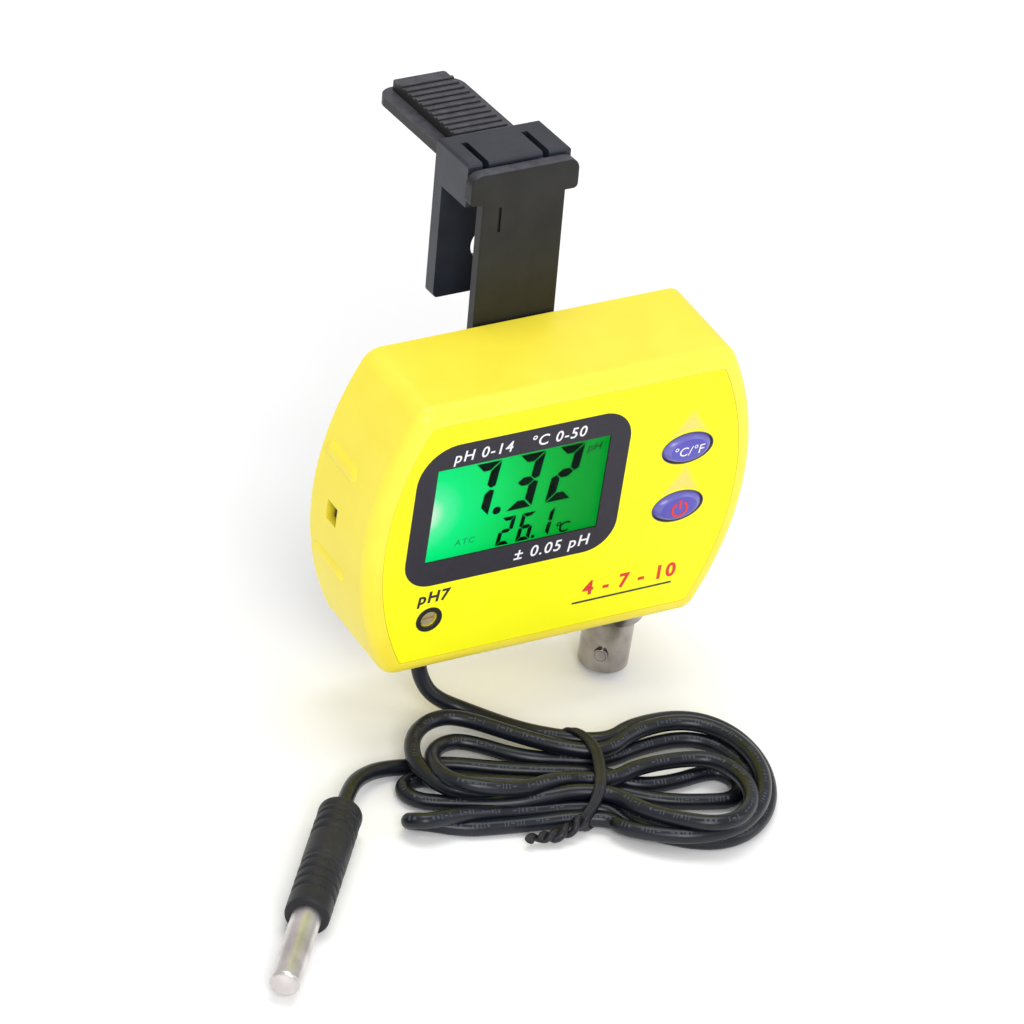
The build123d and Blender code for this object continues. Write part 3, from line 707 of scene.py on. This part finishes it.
def pale_arrows():
    """A pale arrow head above each button, lighter in the middle."""
    spots = (("upper_arrow", (24.95, 18.6), UPPER_Z), ("lower_arrow", (25.3, 6.0), LOWER_Z))
    for name, tip, z in spots:
        base = arc(BUTTON_X, z, 5.8, 3.8, 138, 42, 16)
        plate(name, [[tip, *base]], INK_Y, 0.02, pale_ink)
        base = arc(BUTTON_X, z + 0.5, 5.0, 3.8, 125, 55, 14)
        core = [(tip[0], tip[1] - 1.6), *base]
        plate(name + "_core", [core], INK_Y - 0.012, 0.02, paler_ink)


def button_gap_shades():
    """A dark ring in the gap round each button: painted shade."""
    for name, z in (("upper_gap", UPPER_Z), ("lower_gap", LOWER_Z)):
        outer = arc(BUTTON_X, z, 5.5, 3.5, 0, 355, 71)
        inner = arc(BUTTON_X, z, 5.34, 3.34, 355, 0, 71)
        plate(name, [outer, inner], 0.38, 0.82, gap_shade_ink)


label_print()
scale_print()
button_gap_shades()
pale_arrows()

# ---------------------------------------------------------------- display
PANEL_Y = 1.62
SEGMENT_Y = PANEL_Y - 0.05
# The point that the digits and signs are placed about.
DISPLAY_X = -9.4
DISPLAY_Z = 5.0
# The glow's colour at a distance in millimetres from the lamp.
GLOW = (
    (0, (0.90, 1.0, 0.86)),
    (2.0, (0.62, 1.0, 0.70)),
    (4.2, (0.10, 1.0, 0.40)),
    (8, (0.0, 0.95, 0.25)),
    (15, (0.0, 0.80, 0.15)),
    (22, (0.0, 0.58, 0.07)),
    (30, (0.0, 0.40, 0.03)),
    (40, (0.0, 0.30, 0.02)),
)
SEGMENTS = {"0": "abcdef", "1": "bc", "2": "abged", "3": "abgcd", "6": "afgecd", "7": "abc"}


def segment_shapes(w, h, t, g):
    """The outlines of seven slanted segments in a cell of this width and height."""
    half = h / 2
    upper = [
        (w, h - g),
        (w, half + t * 0.3),
        (w - t * 0.5, half + g),
        (w - t, half + t * 0.55),
        (w - t, h - t - g),
    ]
    middle = [
        (t * 0.45 + g, half),
        (t + g, half + t * 0.5),
        (w - t - g, half + t * 0.5),
        (w - t * 0.45 - g, half),
        (w - t - g, half - t * 0.5),
        (t + g, half - t * 0.5),
    ]
    across = [(g, h), (w - g, h), (w - t - g, h - t), (t + g, h - t)]

    def mirror_x(shape):
        return [(w - x, z) for x, z in shape]

    def mirror_z(shape):
        return [(x, h - z) for x, z in shape]

    return {
        "a": across,
        "b": upper,
        "c": mirror_z(upper),
        "d": mirror_z(across),
        "e": mirror_x(mirror_z(upper)),
        "f": mirror_x(upper),
        "g": middle,
    }


def digits(name, text, spots, z, w, h, t, slant, material):
    """Slanted digits, each with its lower left corner at its own x."""
    loops = []
    shapes = segment_shapes(w, h, t, t * 0.09)
    for sign, left in zip(text, spots):
        for part in SEGMENTS[sign]:
            loops.append([(left + x + slant * up / h, z + up) for x, up in shapes[part]])
    plate(name, loops, SEGMENT_Y, INK, material, "case")


def display():
    """The lit panel just behind the lens, with its dark segments."""
    lit = glow("display_glow", at(-28.6, PANEL_Y, 5.4), GLOW)
    panel = [(-29.4, -5.5), (9.4, -5.5), (9.4, 18.0), (-29.4, 18.0)]
    plate("display_panel", [panel], PANEL_Y, 0.04, lit, "case")
    x, z = DISPLAY_X, DISPLAY_Z
    big = [x - 11.25, x - 2.15, x + 6.05]
    digits("ph_digits", "732", big, z - 2.2, 5.4, 12.1, 1.85, 1.4, segment_ink)
    small = [x - 3.25, x + 0.95, x + 4.95]
    digits("temp_digits", "261", small, z - 9.75, 2.9, 6.2, 0.85, 0.75, segment_ink)
    dots = [
        arc(x - 4.03, z - 1.5, 0.85, 0.85, 0, 350, 20),
        arc(x + 4.6, z - 9.35, 0.38, 0.38, 0, 350, 14),
    ]
    plate("decimal_points", dots, SEGMENT_Y, INK, segment_ink, "case")
    # Name, text, left, baseline, height, ink, weight, slant and spacing.
    signs = (
        ("ph_sign", "pH", x + 13.4, z + 7.6, 1.8, dim_segment, 0.0, 0.15, 1.0),
        ("degree_sign", "°C", x + 8.9, z - 9.8, 2.4, segment_ink, 0.05, 0.2, 0.72),
        ("atc_sign", "ATC", x - 11.9, z - 7.6, 1.3, faint_segment, 0.0, 0.1, 1.3),
    )
    for name, text, left, base, height, *style in signs:
        lettering(name, text, left, base, height, SEGMENT_Y, *style, "case", "lcd")


display()

# ---------------------------------------------------------------- buttons
DOME_RIM = 0.45
DOME_TOP = -0.9
FACE_SHARE = 0.7
CAP_RX = 5.2
CAP_RZ = 3.2
CAP_FOOT = 2.4
CROWN = 0.12


def dome_y(share):
    """Depth of the cap's surface at a share of the way from its middle to its rim."""
    crown = CROWN * (1 - min(1.0, share / FACE_SHARE) ** 2)
    drop = max(0.0, share - FACE_SHARE) / (1 - FACE_SHARE)
    fall = 0.35 * drop + 0.65 * drop**2.2
    return DOME_TOP + CROWN - crown + (DOME_RIM - DOME_TOP - CROWN) * fall


def dome(name, node):
    """The domed top of an oval push button."""
    low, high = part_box(node)
    middle_x = ((low[0] + high[0]) / 2 - FACE_MID.x) / MM
    middle_z = ((low[2] + high[2]) / 2 - FACE_MID.z) / MM
    build = bmesh.new()
    steps = 18

    def ring(share, y):
        return [
            build.verts.new(
                at(
                    middle_x + CAP_RX * share * math.cos(angle),
                    y,
                    middle_z + CAP_RZ * share * math.sin(angle),
                )
            )
            for angle in angles(72)
        ]

    shares = [1 - (k / steps) ** 1.6 for k in range(steps)]
    rings = [ring(share, dome_y(share)) for share in shares]
    rings.insert(0, ring(1, CAP_FOOT))
    crown = build.verts.new(at(middle_x, DOME_TOP, middle_z))
    foot = build.verts.new(at(middle_x, CAP_FOOT, middle_z))
    bridge(build, rings)
    for edge, tip in ((rings[-1], crown), (rings[0], foot)):
        for a, b in zip(edge, edge[1:] + edge[:1]):
            build.faces.new((a, b, tip))
    mesh = built_mesh(build, name)
    piece = add_mesh(name, mesh, violet, node, smooth=True)
    # The bevel round the cap takes the lighter copy, a painted highlight.
    mesh.materials.append(violet_rim_highlight)
    for face in mesh.polygons:
        point = (face.center - FACE_MID) / MM
        share = math.hypot((point.x - middle_x) / CAP_RX, (point.z - middle_z) / CAP_RZ)
        face.material_index = int(share > FACE_SHARE + 0.04)
    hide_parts(node)
    return middle_x, middle_z


def drape(piece, middle_x, middle_z):
    """Lay a flat print on the cap's curved top."""
    for vertex in piece.data.vertices:
        point = (vertex.co - FACE_MID) / MM
        share = math.hypot((point.x - middle_x) / CAP_RX, (point.z - middle_z) / CAP_RZ)
        vertex.co.y += (dome_y(share) - DOME_TOP) * MM


def buttons():
    x, z = dome("temp_unit_cap", "temp_unit_button")
    text = lettering(
        "temp_unit_print",
        "°C/°F",
        x - 3.5,
        z - 1.0,
        2.0,
        DOME_TOP - 0.03,
        white_ink,
        0.01,
        0.12,
        1.06,
        "temp_unit_button",
        "violet_button",
    )
    drape(text, x, z)
    x, z = dome("power_cap", "power_button")
    outer = arc(x, z - 0.15, 1.8, 1.8, 122, 418, 36)
    inner = arc(x, z - 0.15, 1.28, 1.28, 418, 122, 36)
    bar = [(x - 0.26, z), (x + 0.26, z), (x + 0.26, z + 1.9), (x - 0.26, z + 1.9)]
    sign = plate(
        "power_print",
        [outer + inner, bar],
        DOME_TOP - 0.03,
        0.05,
        red_ink,
        "power_button",
    )
    drape(sign, x, z)


buttons()


# ---------------------------------------------------------------- bayonet studs
JACK_X = 20.5
JACK_Y = 9.0
STUD_Z = -39.7
STUD_ANGLE = math.radians(-130.6)
# Radius, and distance from the jack's axis.
STUD_PROFILE = (
    (1.44, 4.5),
    (1.44, 5.3),
    (1.34, 5.46),
    (1.05, 5.53),
    (0.95, 5.47),
    (0.5, 5.49),
    (0.02, 5.5),
)


def studs():
    """The two round studs of the bayonet, with a shallow dish in each end."""
    build = bmesh.new()
    middle = at(JACK_X, JACK_Y, STUD_Z)
    for turn in (0, math.pi):
        out = Vector((math.cos(STUD_ANGLE + turn), math.sin(STUD_ANGLE + turn), 0))
        side = Vector((-out.y, out.x, 0))
        rings = []
        for radius, reach in STUD_PROFILE:
            ring = []
            for angle in angles(40):
                spoke = side * math.cos(angle) + Vector((0, 0, 1)) * math.sin(angle)
                ring.append(build.verts.new(middle + (out * reach + spoke * radius) * MM))
            rings.append(ring)
        bridge(build, rings)
        build.faces.new(rings[0])
        build.faces.new(rings[-1])
    mesh = built_mesh(build, "bayonet_studs")
    # The studs take the darker nickel copy, a painted shade.
    add_mesh("bayonet_studs", mesh, nickel_painted_shade, "case", smooth=True)


studs()


# ---------------------------------------------------------------- tie round the hank
def bundle_outline(clearance):
    """The outline in (y, h) of a band pulled tight round the strands."""
    cloud = []
    radius = LEAD_DIAMETER / MM / 2 + clearance
    for y, h in STRANDS:
        for angle in angles(24):
            cloud.append((y + radius * math.cos(angle), h + radius * math.sin(angle)))
    return [cloud[i] for i in convex_hull_2d(cloud)]


def tie_bow(y):
    """How far along the hank the tie lies at this place across it."""
    return 1.1 - 4.3 * (abs(y - 0.8) / 11.8) ** 3


TIE_GAP = 0.05
TIE_LIFT = 0.9
# Distance along the hank from the band's middle, and height above the strands.
TIE_PROFILE = (
    (-1.1, 0.0),
    (-1.1, 0.45),
    (-0.88, 0.78),
    (-0.52, 0.92),
    (-0.2, 0.8),
    (0.0, 0.6),
    (0.2, 0.8),
    (0.52, 0.92),
    (0.88, 0.78),
    (1.1, 0.45),
    (1.1, 0.0),
)


def tie_band():
    """A coated wire tie, two round edges with a groove between, pulled round the strands."""
    count = 120
    inside = outline_points(bundle_outline(TIE_GAP), count)
    outside = outline_points(bundle_outline(TIE_GAP + TIE_LIFT), count)
    build = bmesh.new()
    rings = []
    for near, far in zip(inside, outside):
        ring = []
        for across, lift in TIE_PROFILE:
            share = lift / TIE_LIFT
            y = near[0] + (far[0] - near[0]) * share
            h = max(TIE_GAP, near[1] + (far[1] - near[1]) * share)
            ring.append(build.verts.new(on_floor(across + tie_bow(y), y, h)))
        rings.append(ring)
    bridge(build, rings + rings[:1])
    mesh = built_mesh(build, "hank_tie")
    return add_mesh("hank_tie", mesh, tie_black, "case", smooth=True)


def outline_points(outline, count):
    """Points evenly round a closed outline, starting at its highest-y point."""
    first = max(range(len(outline)), key=lambda i: outline[i][0])
    loop = outline[first:] + outline[:first] + [outline[first]]
    lengths = [0.0]
    for (y0, h0), (y1, h1) in zip(loop, loop[1:]):
        lengths.append(lengths[-1] + math.hypot(y1 - y0, h1 - h0))
    points = []
    for k in range(count):
        want = lengths[-1] * k / count
        i = max(j for j in range(len(lengths) - 1) if lengths[j] <= want)
        share = (want - lengths[i]) / (lengths[i + 1] - lengths[i])
        points.append([a + (b - a) * share for a, b in zip(loop[i], loop[i + 1])])
    return points


TWIST_PATH = (
    (-2.4, -10.2, 3.4),
    (-5.0, -12.2, 2.4),
    (-7.8, -13.8, 2.0),
    (-10.0, -14.2, 1.9),
    (-12.6, -15.4, 1.6),
)
TWIST_STEPS = 32
TWIST_TURNS = 2.3


def tie_twist():
    """The two ends of the tie, twisted together in front of the hank."""
    path = [Vector(p) for p in TWIST_PATH]
    pieces = []
    for k, stop in ((0, 1.0), (1, 0.82)):
        points = []
        swell = []
        for j in range(TWIST_STEPS):
            share = stop * j / (TWIST_STEPS - 1)
            place = min(share * (len(path) - 1), len(path) - 1.001)
            i = int(place)
            along = (path[i + 1] - path[i]).normalized()
            side = along.cross(Vector((0, 0, 1))).normalized()
            lift = side.cross(along)
            angle = math.pi * (2 * TWIST_TURNS * share + k)
            radius = 0.62 + 0.3 * math.sin(share * 7.5) * (1 - share)
            point = path[i].lerp(path[i + 1], place - i)
            point += side * radius * math.cos(angle) + lift * radius * math.sin(angle)
            points.append(on_floor(point.x, point.y, max(0.75, point.z)))
            knot = 0.35 * math.exp(-(((share - 0.45) / 0.12) ** 2))
            swell.append(1.0 + knot + 0.55 * max(0.0, share - 0.85) / 0.15)
        pieces.append(nurbs(f"tie_end_{k + 1}", points, 0.62 * MM, swell))
    for piece in pieces:
        paint(piece, tie_black)
        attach(piece, "case")
    return pieces


# ---------------------------------------------------------------- marks printed along the lead
PRINT_SIDE = Vector((-0.2, -0.55, 0.81))
# Length along the lead and height round it, in millimetres.
MARK_SHAPES = ((0.2, 0.95), (0.75, 0.24), (0.2, 0.95), (0.42, 0.6))
PLAIN_END = 34 * MM
MARK_GAP = 0.42


def along_lead(lengths, want):
    """The point and direction of the lead's line at this distance from the case."""
    i = max(1, next((n for n, length in enumerate(lengths) if length >= want), len(lengths) - 1))
    share = (want - lengths[i - 1]) / max(1e-9, lengths[i] - lengths[i - 1])
    before, after = lead_line[i - 1], lead_line[i]
    return before.lerp(after, share), (after - before).normalized()


def lead_marks():
    """Rows of plain grey ticks and dashes on the jacket, in place of its print."""
    lengths = [0.0]
    for a, b in zip(lead_line, lead_line[1:]):
        lengths.append(lengths[-1] + (b - a).length)
    build = bmesh.new()
    radius = LEAD_DIAMETER / 2 + 0.012 * MM
    want = PLAIN_END
    while want < lengths[-1] - PLAIN_END:
        for _ in range(rng.randint(3, 6)):
            long, tall = rng.choice(MARK_SHAPES)
            strips = []
            for k in range(3):
                middle, along = along_lead(lengths, want + long * MM * k / 2)
                out = (PRINT_SIDE - along * PRINT_SIDE.dot(along)).normalized()
                side = along.cross(out)
                strip = []
                for j in range(4):
                    angle = tall * (j / 3 - 0.5) / (LEAD_DIAMETER / MM / 2)
                    spoke = out * math.cos(angle) + side * math.sin(angle)
                    strip.append(build.verts.new(middle + spoke * radius))
                strips.append(strip)
            for a, b in zip(strips, strips[1:]):
                for j in range(3):
                    build.faces.new((a[j], b[j], b[j + 1], a[j + 1]))
            want += (long + MARK_GAP) * MM
        want += rng.uniform(1.2, 2.4) * MM
        if rng.random() < 0.12:
            want += 9 * MM
    mesh = built_mesh(build, "lead_print")
    return add_mesh("lead_print", mesh, grey_ink, "case")


# ---------------------------------------------------------------- probe grip
GRIP_R = 4.1
GRIP_L = 31.2
GRIP_GROOVES = (3.9, 6.5, 9.1, 18.3, 20.9, 23.5, 26.1)


def grip_radius(s):
    """The grip's radius at a distance from the lead: soft ribs and rounded ends."""
    radius = GRIP_R
    for groove in GRIP_GROOVES:
        radius -= 0.34 * math.exp(-(((s - groove) / 0.42) ** 2))
    for low in (GRIP_GROOVES[0] - 1.3, GRIP_GROOVES[3] - 1.3):
        radius -= 0.16 * math.exp(-(((s - low) / 0.5) ** 2))
    start = max(0.0, 0.9 - s) / 0.9
    end = max(0.0, s - GRIP_L + 0.6) / 0.6
    return radius - 0.8 * start**2.2 - 0.45 * end**2.2


def probe_skin():
    """The ribbed rubber grip, turned about the probe's axis."""
    foot = at(*LEAD_OUT[-1])
    axis = (foot - at(*LEAD_OUT[-2])).normalized()
    side = axis.cross(Vector((0, 0, 1))).normalized()
    lift = side.cross(axis)
    build = bmesh.new()
    steps = 220
    rings = []
    for k in range(steps + 1):
        s = GRIP_L * k / steps
        ring = []
        for angle in angles(72):
            spoke = side * math.cos(angle) + lift * math.sin(angle)
            ring.append(build.verts.new(foot + (axis * s + spoke * grip_radius(s)) * MM))
        rings.append(ring)
    bridge(build, rings)
    for ring, s in ((rings[0], 0.0), (rings[-1], GRIP_L)):
        middle = build.verts.new(foot + axis * s * MM)
        for a, b in zip(ring, ring[1:] + ring[:1]):
            build.faces.new((a, b, middle))
    mesh = built_mesh(build, "probe_skin")
    skin = add_mesh("probe_skin", mesh, grip_black, "case", smooth=True)
    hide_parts("probe_grip")
    return skin


tie = tie_band()
tie_ends = tie_twist()
marks = lead_marks()
grip = probe_skin()
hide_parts("cord_tie")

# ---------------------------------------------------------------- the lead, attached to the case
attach(lead, "case")
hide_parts("lead_in", "lead_out", "cord_hank")


# ---------------------------------------------------------------- floor and light
def floor():
    bpy.ops.mesh.primitive_plane_add(size=3.0, location=(0, 0, FLOOR))
    ground = bpy.context.object
    ground.name = "floor"
    ground.location.z = FLOOR - 0.01 * MM
    material, tree, shader = new_material("floor_white")
    shade = ramp(tree, noise(tree, 4), (0.95, 0.95, 0.95), (0.97, 0.97, 0.97))
    tree.links.new(shade, shader.inputs["Base Color"])
    shader.inputs["Roughness"].default_value = 0.9
    ground.data.materials.append(material)


def soft_box(name, place, size, power, target):
    data = bpy.data.lights.new(name, "AREA")
    data.shape = "RECTANGLE"
    data.size, data.size_y = size
    data.energy = power
    light = bpy.data.objects.new(name, data)
    light.location = place
    light.rotation_euler = (Vector(place) - Vector(target)).to_track_quat("Z", "Y").to_euler()
    bpy.context.scene.collection.objects.link(light)


def lights():
    world = bpy.data.worlds.new("studio")
    world.use_nodes = True
    sky = world.node_tree.nodes["Background"]
    sky.inputs["Color"].default_value = (1, 1, 1, 1)
    sky.inputs["Strength"].default_value = 0.66
    bpy.context.scene.world = world
    target = at(0, 0, -5)
    soft_box("key", (-0.35, -0.85, 0.55), (0.45, 0.45), 5.2, target)
    soft_box("fill", (0.75, -0.55, 0.35), (0.4, 0.6), 1.3, target)
    soft_box("top", (0.05, 0.1, 0.9), (0.6, 0.4), 3.2, target)


floor()
lights()
bpy.context.scene.view_settings.view_transform = "Standard"
